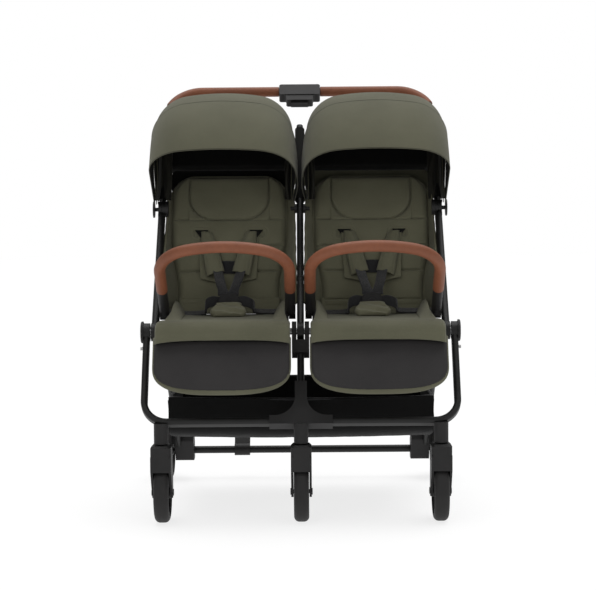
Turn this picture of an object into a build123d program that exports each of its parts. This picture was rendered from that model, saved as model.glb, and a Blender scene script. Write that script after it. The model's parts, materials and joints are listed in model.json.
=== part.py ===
from build123d import *
import os
from math import acos, atan2, cos, degrees, hypot, radians, sin, sqrt

# Side-by-side twin stroller. Millimetres, +Z up, the front faces -Y, X runs across the seats.
# The origin is on the floor under the middle of the whole stroller.

# ---- clearances and small shared sizes
run_gap = 0.3          # radial play of a turning fit
side_gap = 1.5         # gap between two lanes that pass each other
board_thick = 8        # stiffener of a seat back

# ---- main hinge, where front frame, push frame and rear legs meet
hinge_y, hinge_z = -200, 446
hinge_axle_radius = 8
lug_radius = 22

# ---- lanes across the stroller, from the middle outward (X of the right half)
post_width = 17
cheek_width = 11
plate_width = 9
seat_inner_x, seat_outer_x = 29, 325
rear_leg_width = 14
upright_width = 18
front_tube_width = 16
rear_leg_x = 335
upright_x = 353
front_tube_x = 373
seat_x = (seat_inner_x + seat_outer_x) / 2
cover_thick = 6
cover_radius = 26.5

# ---- front frame
front_tube_depth = 28
front_bar_y = -323
front_corner_radius = 55
fairing_wall = 3
fairing_fillet = 48
stud_radius = 4
stud_drop = 44

# ---- push frame, handle
upright_depth = 24
upright_angle = 47.7
upright_length = 396
post_length = 683
handle_reach = 420
handle_corner_radius = 92
joint_lug_radius = 20
joint_pin_radius = 5
tube_start = 27
grip_start, grip_end = 60, 254
grip_wall = 3
block_half, block_step_half = 55, 36
block_below, block_step_below, block_above = 24, 43, 13
block_depth = 31
button_half, button_depth, button_height, button_travel = 23, 13, 16, 5

# ---- canopies
canopy_x = 193
canopy_half = 178.5
canopy_radius = 298
canopy_corner, canopy_crown = 100, 600
shell_thick = 1.5
shell_step = 3.5
bow_thick, bow_width = 1.5, 12
canopy_hub_radius = 19
visor_from, visor_to = 30, 68
middle_from, middle_to = 58, 97
rear_from, rear_to = 87, 126
curtain_half, curtain_radius = 140, 134

# ---- seats
back_hinge_y, back_hinge_z = -36, 441
back_angle = 65
back_length = 415
back_pad_thick = 26
hinge_rod_radius = 6
back_pad_in, back_pad_out = 34, 330
pan_front_y, pan_rear_y = -300, -50
pan_low_z, pan_thick = 455, 6
cushion_top, cushion_front_top = 478, 482
cushion_front_y = -345
cushion_half = 157
bar_y, bar_z, bar_angle = -175, 486, 143.2
bar_radius, bar_sleeve_radius = 13.5, 12.5
bar_half, bar_reach = 153, 290
bar_corner, bar_crown = 95, 300
bar_sleeve_end = 110
leg_pivot_y, leg_pivot_z, leg_angle = -318, 452, 242
leg_rest_half, leg_rest_start, leg_rest_end, leg_rest_thick = 163, 24, 156, 20
leg_rest_corner = 62

# ---- harness
buckle_y, buckle_z = -104, 511
buckle_width, buckle_height, buckle_depth = 50, 42, 18
buckle_button_radius, buckle_button_travel = 9, 2.5
strap_width, strap_thick = 25, 2
shoulder_pad_width, shoulder_pad_thick = 44, 10

# ---- wheels
front_wheel_radius, front_tyre_width = 72, 36
rear_wheel_radius, rear_tyre_width = 77, 32
tyre_wall = 15
caster_x = 331
caster_y = -333
caster_trail = 30
fork_wall = 5.5
fork_side_gap = 1
fork_top_gap, fork_crown_height, fork_lip_drop = 6, 39.5, 23
socket_gap, socket_height, socket_radius = 1.5, 50, 17
pin_radius = 6
axle_radius = 5
rear_wheel_x = 368
rear_axle_radius = 6
axle_tube_radius = 10
housing_in, housing_out = 295, 345
pedal_x, pedal_width, pedal_length = -164, 42, 44

# ---- basket
basket_half = 320
basket_wall = 2.5
basket_front_y, basket_rear_y = -262, 252
basket_low_z, basket_front_z, basket_top_z = 146, 204, 292

# ---- worked out
canopy_y = hinge_y + upright_length * cos(radians(upright_angle))
canopy_z = hinge_z + upright_length * sin(radians(upright_angle))
block_low = handle_reach - block_below
block_step = handle_reach - block_step_below
block_high = handle_reach + block_above
fork_crown_low = 2 * front_wheel_radius + fork_top_gap
fork_crown_high = fork_crown_low + fork_crown_height
socket_low = fork_crown_high + socket_gap
front_bar_z = socket_low + socket_height
front_angle = degrees(atan2(front_bar_z - hinge_z, front_bar_y - hinge_y))
front_length = hypot(front_bar_y - hinge_y, front_bar_z - hinge_z)
bar_front_y = bar_y + bar_reach * cos(radians(bar_angle)) - bar_radius
rear_axle_y = -bar_front_y - rear_wheel_radius
rear_axle_z = rear_wheel_radius
rear_leg_angle = degrees(atan2(rear_axle_z - hinge_z, rear_axle_y - hinge_y))
rear_leg_length = hypot(rear_axle_y - hinge_y, rear_axle_z - hinge_z)
front_outer_x = front_tube_x + front_tube_width / 2


def slant(y, z, angle):
    """Frame whose local Y runs at the given angle in the side view, from (y, z)."""
    return Pos(0, y, z) * Rot(angle, 0, 0)


def x_rod(x_from, x_to, y, z, radius):
    length = x_to - x_from
    return Pos((x_from + x_to) / 2, y, z) * Rot(0, 90, 0) * Cylinder(radius, length)


def block(x_from, x_to, y_from, y_to, z_from, z_to):
    size = (x_to - x_from, y_to - y_from, z_to - z_from)
    return Pos((x_from + x_to) / 2, (y_from + y_to) / 2, (z_from + z_to) / 2) * Box(*size)


def side_slab(points, x_from, x_to, corner=0):
    """Plate with the given side outline (y, z), standing between two X places."""
    outline = Polyline(*[(x_from, y, z) for y, z in points], close=True)
    plate = extrude(make_face(outline), amount=x_to - x_from, dir=(1, 0, 0))
    if corner:
        plate = fillet(plate.edges().filter_by(Axis.X), corner)
    return plate


def flat_bar(x_mid, y_from, y_to, width, depth):
    """Straight flat-sided tube along local Y."""
    radius = 0.45 * min(width, depth)
    section = Plane.XZ * RectangleRounded(width, depth, radius)
    return Pos(x_mid, y_to, 0) * extrude(section, amount=y_to - y_from)


def both_sides(piece):
    return [piece, mirror(piece, about=Plane.YZ)]


def group(pieces):
    return Compound(children=list(pieces))


def arch_edges(half, top, corner, crown, start, inset=0):
    """Arch outline: straight sides, round corners, slightly crowned top, tangent throughout."""
    corner_x = half - corner
    crown_y = top - crown
    corner_y = crown_y + sqrt((crown - corner) ** 2 - corner_x ** 2)
    lean = degrees(acos(corner_x / (crown - corner)))
    side = half - inset
    return [
        Line((side, start), (side, corner_y)),
        CenterArc((corner_x, corner_y), corner - inset, 0, lean),
        CenterArc((0, crown_y), crown - inset, lean, 180 - 2 * lean),
        CenterArc((-corner_x, corner_y), corner - inset, 180 - lean, lean),
        Line((-side, corner_y), (-side, start)),
    ]


# ---- front frame -------------------------------------------------------------------------

def front_frame():
    """U tube with its centre leg, welded, with a lug at each main hinge."""
    path = FilletPolyline(
        (front_tube_x, 0), (front_tube_x, front_length),
        (-front_tube_x, front_length), (-front_tube_x, 0),
        radius=front_corner_radius)
    section_plane = Plane(origin=(front_tube_x, 0, 0), x_dir=(1, 0, 0), z_dir=(0, 1, 0))
    corner = 0.45 * front_tube_width
    section = section_plane * RectangleRounded(front_tube_width, front_tube_depth, corner)
    tube = sweep(section, path=path)
    leg = flat_bar(0, lug_radius + 12, front_length, post_width, front_tube_depth)
    frame = slant(hinge_y, hinge_z, front_angle) * (tube + leg)
    for side in (-1, 1):
        x = side * front_tube_x
        half = front_tube_width / 2
        frame += x_rod(x - half, x + half, hinge_y, hinge_z, lug_radius)
    return frame - x_rod(-front_outer_x, front_outer_x, hinge_y, hinge_z, hinge_axle_radius)


def centre_hinge_bracket(frame):
    inner = post_width / 2 + side_gap
    outer = inner + cheek_width
    saddle = block(-outer, outer, lug_radius + 8, lug_radius + 42, -17, 17)
    bracket = slant(hinge_y, hinge_z, front_angle) * saddle
    for low, high in ((-outer, -inner), (inner, outer)):
        neck = block(low, high, 0, lug_radius + 10, -17, 17)
        bracket += slant(hinge_y, hinge_z, front_angle) * neck
        bracket += x_rod(low, high, hinge_y, hinge_z, lug_radius + 2)
    return bracket - frame - x_rod(-outer, outer, hinge_y, hinge_z, hinge_axle_radius)


def leg_fairing(frame):
    """Plastic cover where the centre leg meets the front bar."""
    sleeve_half = post_width / 2 + 2 * fairing_wall
    bar_cover = Pos(0, front_length) * Rectangle(150, front_tube_width + 2 * fairing_wall)
    leg_cover = Pos(0, front_length - 50) * Rectangle(2 * sleeve_half, 100)
    outline = bar_cover + leg_cover
    corners = [v for v in outline.vertices() if abs(abs(v.X) - sleeve_half) < 0.1
               and v.Y > front_length - 60]
    outline = fillet(corners, fairing_fillet)
    depth = front_tube_depth / 2 + fairing_wall
    cover = extrude(outline, amount=depth, both=True)
    return slant(hinge_y, hinge_z, front_angle) * cover - frame


def hinge_covers():
    """Round outer caps of the main hinge."""
    cap = x_rod(front_outer_x, front_outer_x + cover_thick, hinge_y, hinge_z, cover_radius)
    cap = fillet(cap.edges().group_by(Axis.X)[-1], cover_thick / 2)
    return group(both_sides(cap))


def accessory_studs():
    """Short round studs on the outside of the front tubes, below the hinge covers."""
    y = hinge_y + stud_drop * cos(radians(front_angle))
    z = hinge_z + stud_drop * sin(radians(front_angle))
    return group(both_sides(x_rod(front_outer_x, front_outer_x + cover_thick, y, z, stud_radius)))


def caster_sockets(frame, fairing):
    """Housings under the front bar, each with the pin that its fork turns on."""
    sockets = []
    for x in (-caster_x, 0, caster_x):
        height = front_bar_z - socket_low
        housing = Pos(x, caster_y, socket_low + height / 2) * Cylinder(socket_radius, height)
        housing = chamfer(housing.edges().group_by(Axis.Z)[0], 2)
        pin_length = socket_low - fork_crown_low - 4
        pin = Pos(x, caster_y, socket_low - pin_length / 2) * Cylinder(pin_radius, pin_length)
        housing = housing + pin - frame - fairing
        sockets.append(max(housing.solids(), key=lambda solid: solid.volume))
    return group(sockets)


# ---- seats -------------------------------------------------------------------------------

def seat_side_plates():
    """Four side plates on the hinge axle, each with the pivot pin of a bumper bar."""
    rail = [(leg_pivot_y - 10, leg_pivot_z - 13), (back_hinge_y + 10, back_hinge_z - 16),
            (back_hinge_y + 14, back_hinge_z + 16), (bar_y + 40, back_hinge_z + 26),
            (bar_y + 14, bar_z + 6), (bar_y - 14, bar_z + 6), (bar_y - 40, pan_low_z + 5),
            (leg_pivot_y - 10, pan_low_z + 5)]
    plates = []
    lanes = ((seat_inner_x, seat_inner_x + plate_width, -1),
             (seat_outer_x - plate_width, seat_outer_x, 1))
    for low, high, outward in lanes:
        plate = side_slab(rail, low, high, 5)
        plate += x_rod(low, high, bar_y, bar_z, bar_sleeve_radius + 1.5)
        plate += x_rod(low, high, hinge_y, hinge_z, lug_radius)
        pin_end = (high if outward > 0 else low) + outward * 15
        pin_start = low if outward > 0 else high
        plate += x_rod(min(pin_start, pin_end), max(pin_start, pin_end),
                       bar_y, bar_z, joint_pin_radius)
        plate -= x_rod(low - 1, high + 1, hinge_y, hinge_z, hinge_axle_radius)
        plate -= x_rod(low - 1, high + 1, back_hinge_y, back_hinge_z, hinge_rod_radius)
        plate -= x_rod(low - 1, high + 1, leg_pivot_y, leg_pivot_z, hinge_rod_radius)
        plates += both_sides(plate)
    return group(plates)


def hinge_rods(y, z):
    rod = x_rod(seat_inner_x, seat_outer_x, y, z, hinge_rod_radius)
    return group(both_sides(rod))


def seat_boards():
    low, high = seat_inner_x + plate_width, seat_outer_x - plate_width
    board = block(low, high, pan_front_y, pan_rear_y, pan_low_z, pan_low_z + pan_thick)
    return group(both_sides(board))


def seat_cushion(side):
    board_top = pan_low_z + pan_thick
    narrow = seat_x - seat_inner_x - plate_width - 2
    x = side * seat_x
    rear = block(x - narrow, x + narrow, -240, pan_rear_y, board_top, cushion_top)
    front = block(x - cushion_half, x + cushion_half, cushion_front_y, hinge_y - lug_radius - 4,
                  board_top, cushion_front_top)
    front = fillet(front.edges().filter_by(Axis.X).group_by(Axis.Y)[0].sort_by(Axis.Z)[-1], 9)
    return rear + front


def seat_back(side):
    """Stiffener on its hinge sleeve, in the seat back's own frame."""
    inner = seat_inner_x + plate_width + 4
    outer = seat_outer_x - plate_width - 4
    x = side * seat_x
    half = (outer - inner) / 2
    sleeve = x_rod(x - half, x + half, 0, 0, hinge_rod_radius + 5)
    board = block(x - half, x + half, 0, back_length - 8, -board_thick, 0)
    panel = sleeve + board - x_rod(x - half - 1, x + half + 1, 0, 0, hinge_rod_radius + run_gap)
    return slant(back_hinge_y, back_hinge_z, back_angle) * panel


def back_pad(side):
    mid = side * (back_pad_in + back_pad_out) / 2
    half = (back_pad_out - back_pad_in) / 2
    hip_half = seat_x - seat_inner_x - plate_width - 3
    upper = block(mid - half, mid + half, 62, back_length, 0.01, back_pad_thick)
    upper = fillet(upper.edges().filter_by(Axis.Z).group_by(Axis.Y)[-1], 55)
    lower = block(side * seat_x - hip_half, side * seat_x + hip_half, 46, 70,
                  0.01, back_pad_thick)
    pad = upper + lower
    for edge in (-1, 1):
        x = mid + edge * (half - 4)
        wing = side_slab([(75, back_pad_thick - 2), (70, 96), (115, 92), (250, back_pad_thick - 2)],
                         x - 4, x + 4)
        pad += wing
    return slant(back_hinge_y, back_hinge_z, back_angle) * pad


def shoulder_harness(side):
    """Two padded shoulder straps lying on the back pad."""
    lift = back_pad_thick + 0.01
    straps = []
    for edge in (-1, 1):
        lean = edge * degrees(atan2(42, 116))
        pad = Box(shoulder_pad_width, 118, shoulder_pad_thick)
        pad = fillet(pad.edges().filter_by(Axis.Z), 8)
        place = Pos(side * seat_x + edge * 42, 198, lift + shoulder_pad_thick / 2)
        straps.append(place * Rot(0, 0, -lean) * pad)
    return slant(back_hinge_y, back_hinge_z, back_angle) * group(straps)


def bumper_bar(side):
    """Padded arch in front of a seat and its two end sleeves with pivot lugs."""
    place = Pos(side * seat_x, 0, 0) * slant(bar_y, bar_z, bar_angle)
    wire = Wire(arch_edges(bar_half, bar_reach, bar_corner, bar_crown, bar_sleeve_end))
    start = Plane(origin=(bar_half, bar_sleeve_end, 0), z_dir=(0, 1, 0))
    grip = place * sweep(start * Circle(bar_radius), path=wire)
    ends = []
    for edge in (-1, 1):
        sleeve = Pos(edge * bar_half, 18, 0) * Rot(-90, 0, 0) * Cylinder(
            bar_sleeve_radius, bar_sleeve_end - 18, align=(Align.CENTER, Align.CENTER, Align.MIN))
        lug_from, lug_to = sorted((edge * (bar_half - 4), edge * (bar_half + 12)))
        lug_radius = bar_sleeve_radius - 0.5
        lug = x_rod(lug_from, lug_to, 0, 0, lug_radius)
        lug += block(lug_from, lug_to, 0, 24, 1 - lug_radius, lug_radius - 1)
        bore = x_rod(lug_from - 1, lug_to + 1, 0, 0, joint_pin_radius + run_gap)
        ends.append(place * (sleeve + lug - bore))
    return grip, group(ends)


def leg_rest(side):
    x = side * (seat_x + 8)
    panel = block(x - leg_rest_half, x + leg_rest_half, leg_rest_start, leg_rest_end,
                  -leg_rest_thick / 2, leg_rest_thick / 2)
    panel = fillet(panel.edges().filter_by(Axis.Z).group_by(Axis.Y)[-1], leg_rest_corner)
    ear_out = seat_outer_x - plate_width - 2
    ear_in = seat_inner_x + plate_width + 2
    for low, high in ((ear_in, ear_in + 12), (ear_out - 12, ear_out)):
        low, high = sorted((side * low, side * high))
        panel += x_rod(low, high, 0, 0, hinge_rod_radius + 2.5)
        panel += block(low, high, 0, leg_rest_start + 1, -7, 7)
        panel -= x_rod(low - 1, high + 1, 0, 0, hinge_rod_radius + run_gap)
    return slant(leg_pivot_y, leg_pivot_z, leg_angle) * panel


# ---- harness on the seat -----------------------------------------------------------------

def buckle(side):
    x = side * seat_x
    front = buckle_y - buckle_depth / 2
    half, tall = buckle_width / 2, buckle_height / 2
    body = block(x - half, x + half, front, front + buckle_depth,
                 buckle_z - tall, buckle_z + tall)
    body = fillet(body.edges().filter_by(Axis.Y), 14)
    pocket_depth = 5 + buckle_button_travel + 1
    pocket = Pos(x, front, buckle_z) * Rot(-90, 0, 0) * Cylinder(
        buckle_button_radius + run_gap, pocket_depth, align=(Align.CENTER, Align.CENTER, Align.MIN))
    return body - pocket


def buckle_button(side):
    front = buckle_y - buckle_depth / 2
    button = Cylinder(buckle_button_radius, 6.5, align=(Align.CENTER, Align.CENTER, Align.MIN))
    button = fillet(button.edges().group_by(Axis.Z)[0], 1.2)
    return Pos(side * seat_x, front - 1.5, buckle_z) * Rot(-90, 0, 0) * button


def lap_harness(buckles):
    """Crotch pads and lap straps of both seats, meeting the buckles."""
    pieces = []
    for side in (-1, 1):
        x = side * seat_x
        pad = side_slab([(-176, cushion_top), (-168, cushion_top + 13),
                         (buckle_y - buckle_depth / 2, buckle_z - buckle_button_radius - 2),
                         (buckle_y - buckle_depth / 2, cushion_top)], x - 21, x + 21)
        pieces.append(pad)
        reach = seat_x - seat_inner_x - plate_width - 2
        for edge in (-1, 1):
            near, far = x + edge * buckle_width / 2, x + edge * reach
            low, high = sorted((near, far))
            strap = block(low, high, buckle_y - strap_thick / 2, buckle_y + strap_thick / 2,
                          cushion_top, cushion_top + strap_width)
            pieces.append(strap - buckles)
    return group(pieces)


# ---- push frame and handle ---------------------------------------------------------------

def push_tubes():
    lug_low = upright_x + run_gap
    lug_high = upright_x + upright_width / 2
    tube = flat_bar(upright_x, 0, upright_length - tube_start, upright_width, upright_depth)
    tube += x_rod(upright_x - upright_width / 2, lug_high, 0, 0, lug_radius)
    tube += x_rod(lug_low, lug_high, upright_length, 0, joint_lug_radius)
    tube += block(lug_low, lug_high, upright_length - tube_start - 4, upright_length, -11, 11)
    tube -= x_rod(0, front_outer_x, 0, 0, hinge_axle_radius + run_gap)
    tube -= x_rod(0, front_outer_x, upright_length, 0, joint_pin_radius)
    return group(both_sides(slant(hinge_y, hinge_z, upright_angle) * tube))


def centre_post():
    half = post_width / 2
    post = flat_bar(0, 0, post_length, post_width, upright_depth)
    post += x_rod(-half, half, 0, 0, lug_radius)
    post -= x_rod(-half, half, 0, 0, hinge_axle_radius + run_gap)
    post -= x_rod(-half, half, upright_length, 0, joint_pin_radius)
    return slant(hinge_y, hinge_z, upright_angle) * post


def canopy_brackets():
    """Pivot pins of the canopies and of the folding handle, with their round caps."""
    inner_face = upright_x - upright_width / 2 - run_gap
    outer_face = canopy_x + canopy_half + 0.5
    spool = x_rod(inner_face - 7, outer_face + 4, 0, 0, joint_pin_radius)
    spool += x_rod(inner_face - 7, inner_face, 0, 0, joint_lug_radius + 1)
    spool += x_rod(outer_face, outer_face + 4, 0, 0, joint_lug_radius + 1)
    collar = post_width / 2
    shell_in = canopy_x - canopy_half
    centre = x_rod(-shell_in - 10, shell_in + 10, 0, 0, joint_pin_radius)
    for low, high in ((-shell_in + 0.5, -collar), (collar, shell_in - 0.5)):
        centre += x_rod(low, high, 0, 0, joint_pin_radius + 7)
    place = slant(canopy_y, canopy_z, upright_angle)
    return group([place * piece for piece in both_sides(spool) + [centre]])


def canopy_shell(side, level, from_angle, to_angle, bows):
    """Part-turn shell about the canopy pivot; level counts the nested shells inward."""
    inset = level * shell_step

    def band(depth_from, depth_to, start_angle, end_angle):
        outer = arch_edges(canopy_half, canopy_radius, canopy_corner, canopy_crown,
                           canopy_hub_radius - 4, depth_from)
        inner = arch_edges(canopy_half, canopy_radius, canopy_corner, canopy_crown,
                           canopy_hub_radius - 4, depth_to)
        ends = [Line(outer[0] @ 0, inner[0] @ 0), Line(outer[-1] @ 1, inner[-1] @ 1)]
        face = make_face(Wire(outer + inner + ends))
        turned = revolve(face, axis=Axis.X, revolution_arc=end_angle - start_angle)
        return Rot(180 - end_angle, 0, 0) * turned

    shell = band(inset, inset + shell_thick, from_angle, to_angle)
    bow_turn = degrees(bow_width / canopy_radius)
    for angle in bows:
        shell += band(inset + shell_thick, inset + shell_thick + bow_thick,
                      angle, angle + bow_turn)
    for edge in (-1, 1):
        face_out = edge * (canopy_half - inset)
        face_in = edge * (canopy_half - inset - shell_thick)
        shell += x_rod(min(face_out, face_in), max(face_out, face_in), 0, 0, canopy_hub_radius)
    shell -= x_rod(-canopy_half, canopy_half, 0, 0, joint_pin_radius + run_gap)
    return Pos(side * canopy_x, canopy_y, canopy_z) * shell


def canopy_rear(side):
    """Fixed rear shell with the stiff panel that closes it behind the head."""
    shell = canopy_shell(side, 2, rear_from, rear_to, [])
    inset = 2 * shell_step
    edges = arch_edges(canopy_half, canopy_radius, canopy_corner, canopy_crown,
                       curtain_radius, inset + shell_thick / 2)
    face = make_face(Wire(edges + [Line(edges[-1] @ 1, edges[0] @ 0)]))
    panel = extrude(face, amount=shell_thick)
    panel &= block(-curtain_half, curtain_half, curtain_radius, canopy_radius, 0, shell_thick)
    panel = Pos(side * canopy_x, canopy_y, canopy_z) * Rot(180 - rear_to, 0, 0) * panel
    return shell + panel


def handle_tube():
    path = FilletPolyline(
        (upright_x, tube_start), (upright_x, handle_reach),
        (-upright_x, handle_reach), (-upright_x, tube_start),
        radius=handle_corner_radius)
    start = Plane(origin=(upright_x, tube_start, 0), x_dir=(1, 0, 0), z_dir=(0, 1, 0))
    section = start * RectangleRounded(upright_width, upright_depth, 0.45 * upright_width)
    tube = sweep(section, path=path)
    low = upright_x - upright_width / 2
    high = upright_x - run_gap
    lug = x_rod(low, high, 0, 0, joint_lug_radius)
    lug += block(low, high, 0, tube_start + 4, -11, 11)
    for piece in both_sides(lug):
        tube += piece
    tube -= x_rod(-front_outer_x, front_outer_x, 0, 0, joint_pin_radius + run_gap)
    return slant(canopy_y, canopy_z, upright_angle) * tube


def handle_grips():
    width, depth = upright_width + 2 * grip_wall, upright_depth + 2 * grip_wall
    outside = RectangleRounded(width, depth, 0.45 * width)
    inside = RectangleRounded(upright_width, upright_depth, 0.45 * upright_width)
    sleeve = extrude(Plane.YZ * (outside - inside), amount=grip_end - grip_start)
    grip = Pos(grip_start, handle_reach, 0) * sleeve
    place = slant(canopy_y, canopy_z, upright_angle)
    return group([place * piece for piece in both_sides(grip)])


def button_space(clearance, travel):
    half = button_half + clearance
    depth = button_depth / 2 + clearance
    top = block_step - 9 + button_height + travel
    return block(-half, half, block_step - 9, top, -depth, depth)


def handle_block(tube):
    """Moulded block in the middle of the handle that holds the fold button."""
    upper = block(-block_half, block_half, block_low, block_high,
                  -block_depth / 2, block_depth / 2)
    lower = block(-block_step_half, block_step_half, block_step, block_low,
                  -block_depth / 2 + 2, block_depth / 2 - 2)
    body = upper + lower
    body = fillet(body.edges().filter_by(Axis.Z), 6)
    body -= button_space(run_gap, button_travel + 2)
    return slant(canopy_y, canopy_z, upright_angle) * body - tube


def fold_button():
    return slant(canopy_y, canopy_z, upright_angle) * button_space(0, 0)


# ---- rear legs ---------------------------------------------------------------------------

def rear_legs():
    low = rear_leg_x - rear_leg_width / 2
    high = rear_leg_x + rear_leg_width / 2
    leg = flat_bar(rear_leg_x, 0, rear_leg_length, rear_leg_width, 26)
    leg += x_rod(low, high, 0, 0, lug_radius)
    leg += x_rod(low, high, rear_leg_length, 0, 13)
    leg -= x_rod(low - 1, high + 1, 0, 0, hinge_axle_radius + run_gap)
    leg -= x_rod(low - 1, high + 1, rear_leg_length, 0, axle_tube_radius)
    return group(both_sides(slant(hinge_y, hinge_z, rear_leg_angle) * leg))


def rear_axle():
    """Cross tube between the rear legs with the stub axles of the rear wheels."""
    tube = x_rod(-housing_out, housing_out, rear_axle_y, rear_axle_z, axle_tube_radius)
    end = rear_wheel_x + rear_tyre_width / 2 + 3
    return tube + x_rod(-end, end, rear_axle_y, rear_axle_z, rear_axle_radius)


def rear_housings(legs, axle):
    y, z = rear_axle_y, rear_axle_z
    outline = [(y - 24, z - 26), (y + 24, z - 26), (y + 24, z + 22), (y - 6, z + 52),
               (y - 44, z + 60), (y - 50, z + 30)]
    shell = side_slab(outline, housing_in, housing_out, 8)
    return group([piece - legs - axle for piece in both_sides(shell)])


def brake_pedal():
    half = pedal_width / 2
    y, z = rear_axle_y, rear_axle_z
    ring = x_rod(pedal_x - half, pedal_x + half, y, z, axle_tube_radius + 6)
    arm = block(pedal_x - half, pedal_x + half, 0, pedal_length, -5, 5)
    arm = fillet(arm.edges().filter_by(Axis.X), 3)
    pedal = ring + slant(y, z, 48) * arm
    return pedal - x_rod(pedal_x - half - 1, pedal_x + half + 1, y, z,
                         axle_tube_radius + run_gap)


# ---- wheels ------------------------------------------------------------------------------

def wheel_rim(x, y, z, wheel_radius, tyre_width, bore):
    rim_radius = wheel_radius - tyre_wall
    half = tyre_width / 2
    rim = x_rod(-half + 3, half - 3, 0, 0, rim_radius) - x_rod(-half, half, 0, 0, rim_radius - 6)
    rim += x_rod(-4, 4, 0, 0, rim_radius - 5)
    rim += x_rod(-half + 0.5, half - 0.5, 0, 0, 15)
    hole_ring = (rim_radius - 6 + 15) / 2
    hole_radius = (rim_radius - 6 - 15) / 2 - 3
    for step in range(6):
        turn = radians(60 * step)
        rim -= x_rod(-half, half, hole_ring * cos(turn), hole_ring * sin(turn), hole_radius)
    rim -= x_rod(-half, half, 0, 0, bore + run_gap)
    return Pos(x, y, z) * rim


def wheel_tyre(x, y, z, wheel_radius, tyre_width):
    half = tyre_width / 2
    tyre = x_rod(-half, half, 0, 0, wheel_radius)
    tyre = fillet(tyre.edges().filter_by(GeomType.CIRCLE), 0.42 * tyre_wall * 2)
    tyre -= x_rod(-half, half, 0, 0, wheel_radius - tyre_wall)
    return Pos(x, y, z) * tyre


def caster_fork(x):
    """Swivelling fork with its axle bolt; the wheel trails behind the pin."""
    inner = front_tyre_width / 2 + fork_side_gap
    outer = inner + fork_wall
    wheel_y = caster_y + caster_trail
    crown = block(-outer, outer, -27, 34, fork_crown_low, fork_crown_high)
    crown = fillet(crown.edges().filter_by(Axis.Z), 9)
    crown = chamfer(crown.edges().group_by(Axis.Z)[-1], 5)
    lip = block(-outer + 0.5, outer - 0.5, -27, -21.5,
                fork_crown_low - fork_lip_drop, fork_crown_low + 12)
    fork = Pos(0, caster_y, 0) * (crown + lip)
    outline = [(caster_y - 26, fork_crown_low + 14), (caster_y - 26, fork_crown_low - fork_lip_drop + 1),
               (wheel_y - 13, front_wheel_radius - 6), (wheel_y - 6, front_wheel_radius - 13),
               (wheel_y + 6, front_wheel_radius - 13), (wheel_y + 13, front_wheel_radius - 6),
               (caster_y + 33, fork_crown_low + 14)]
    for low, high in ((-outer, -inner), (inner, outer)):
        fork += side_slab(outline, low, high, 3)
    reach = fork_crown_high - fork_crown_low
    bore = Pos(0, caster_y, fork_crown_low + reach / 2) * Cylinder(pin_radius + run_gap, reach + 2)
    fork -= bore
    bolt_end = outer + 2
    fork -= x_rod(-bolt_end, bolt_end, wheel_y, front_wheel_radius, axle_radius)
    bolt = x_rod(-bolt_end, bolt_end, wheel_y, front_wheel_radius, axle_radius)
    bolt += x_rod(outer, bolt_end, wheel_y, front_wheel_radius, 8)
    bolt += x_rod(-bolt_end, -outer, wheel_y, front_wheel_radius, 8)
    return group([Pos(x, 0, 0) * fork, Pos(x, 0, 0) * bolt])


# ---- basket ------------------------------------------------------------------------------

def basket(frame):
    """Open shopping basket under the seats, with hooks on the front tubes."""

    def outline(inset):
        front, rear = basket_front_y + inset, basket_rear_y - inset
        low, mid = basket_low_z + inset, basket_front_z + inset
        top = basket_top_z + (1 if inset else 0)
        return [(front, top), (front, mid), (front + 40, mid - 4), (front + 82, low),
                (rear - 100, low), (rear - 16, low + 44), (rear, top)]

    half = basket_half
    outside = side_slab(outline(0), -half, half)
    inside = side_slab(outline(basket_wall), -half + basket_wall, half - basket_wall)
    shell = outside - inside
    hook = block(half - 1, front_tube_x, basket_front_y - 32, basket_front_y + 2,
                 basket_top_z - 14, basket_top_z)
    for piece in both_sides(hook):
        cut = piece - frame - outside
        shell += min(cut.solids(), key=lambda solid: abs(solid.center().Y - basket_front_y + 10))
    return shell


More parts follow.
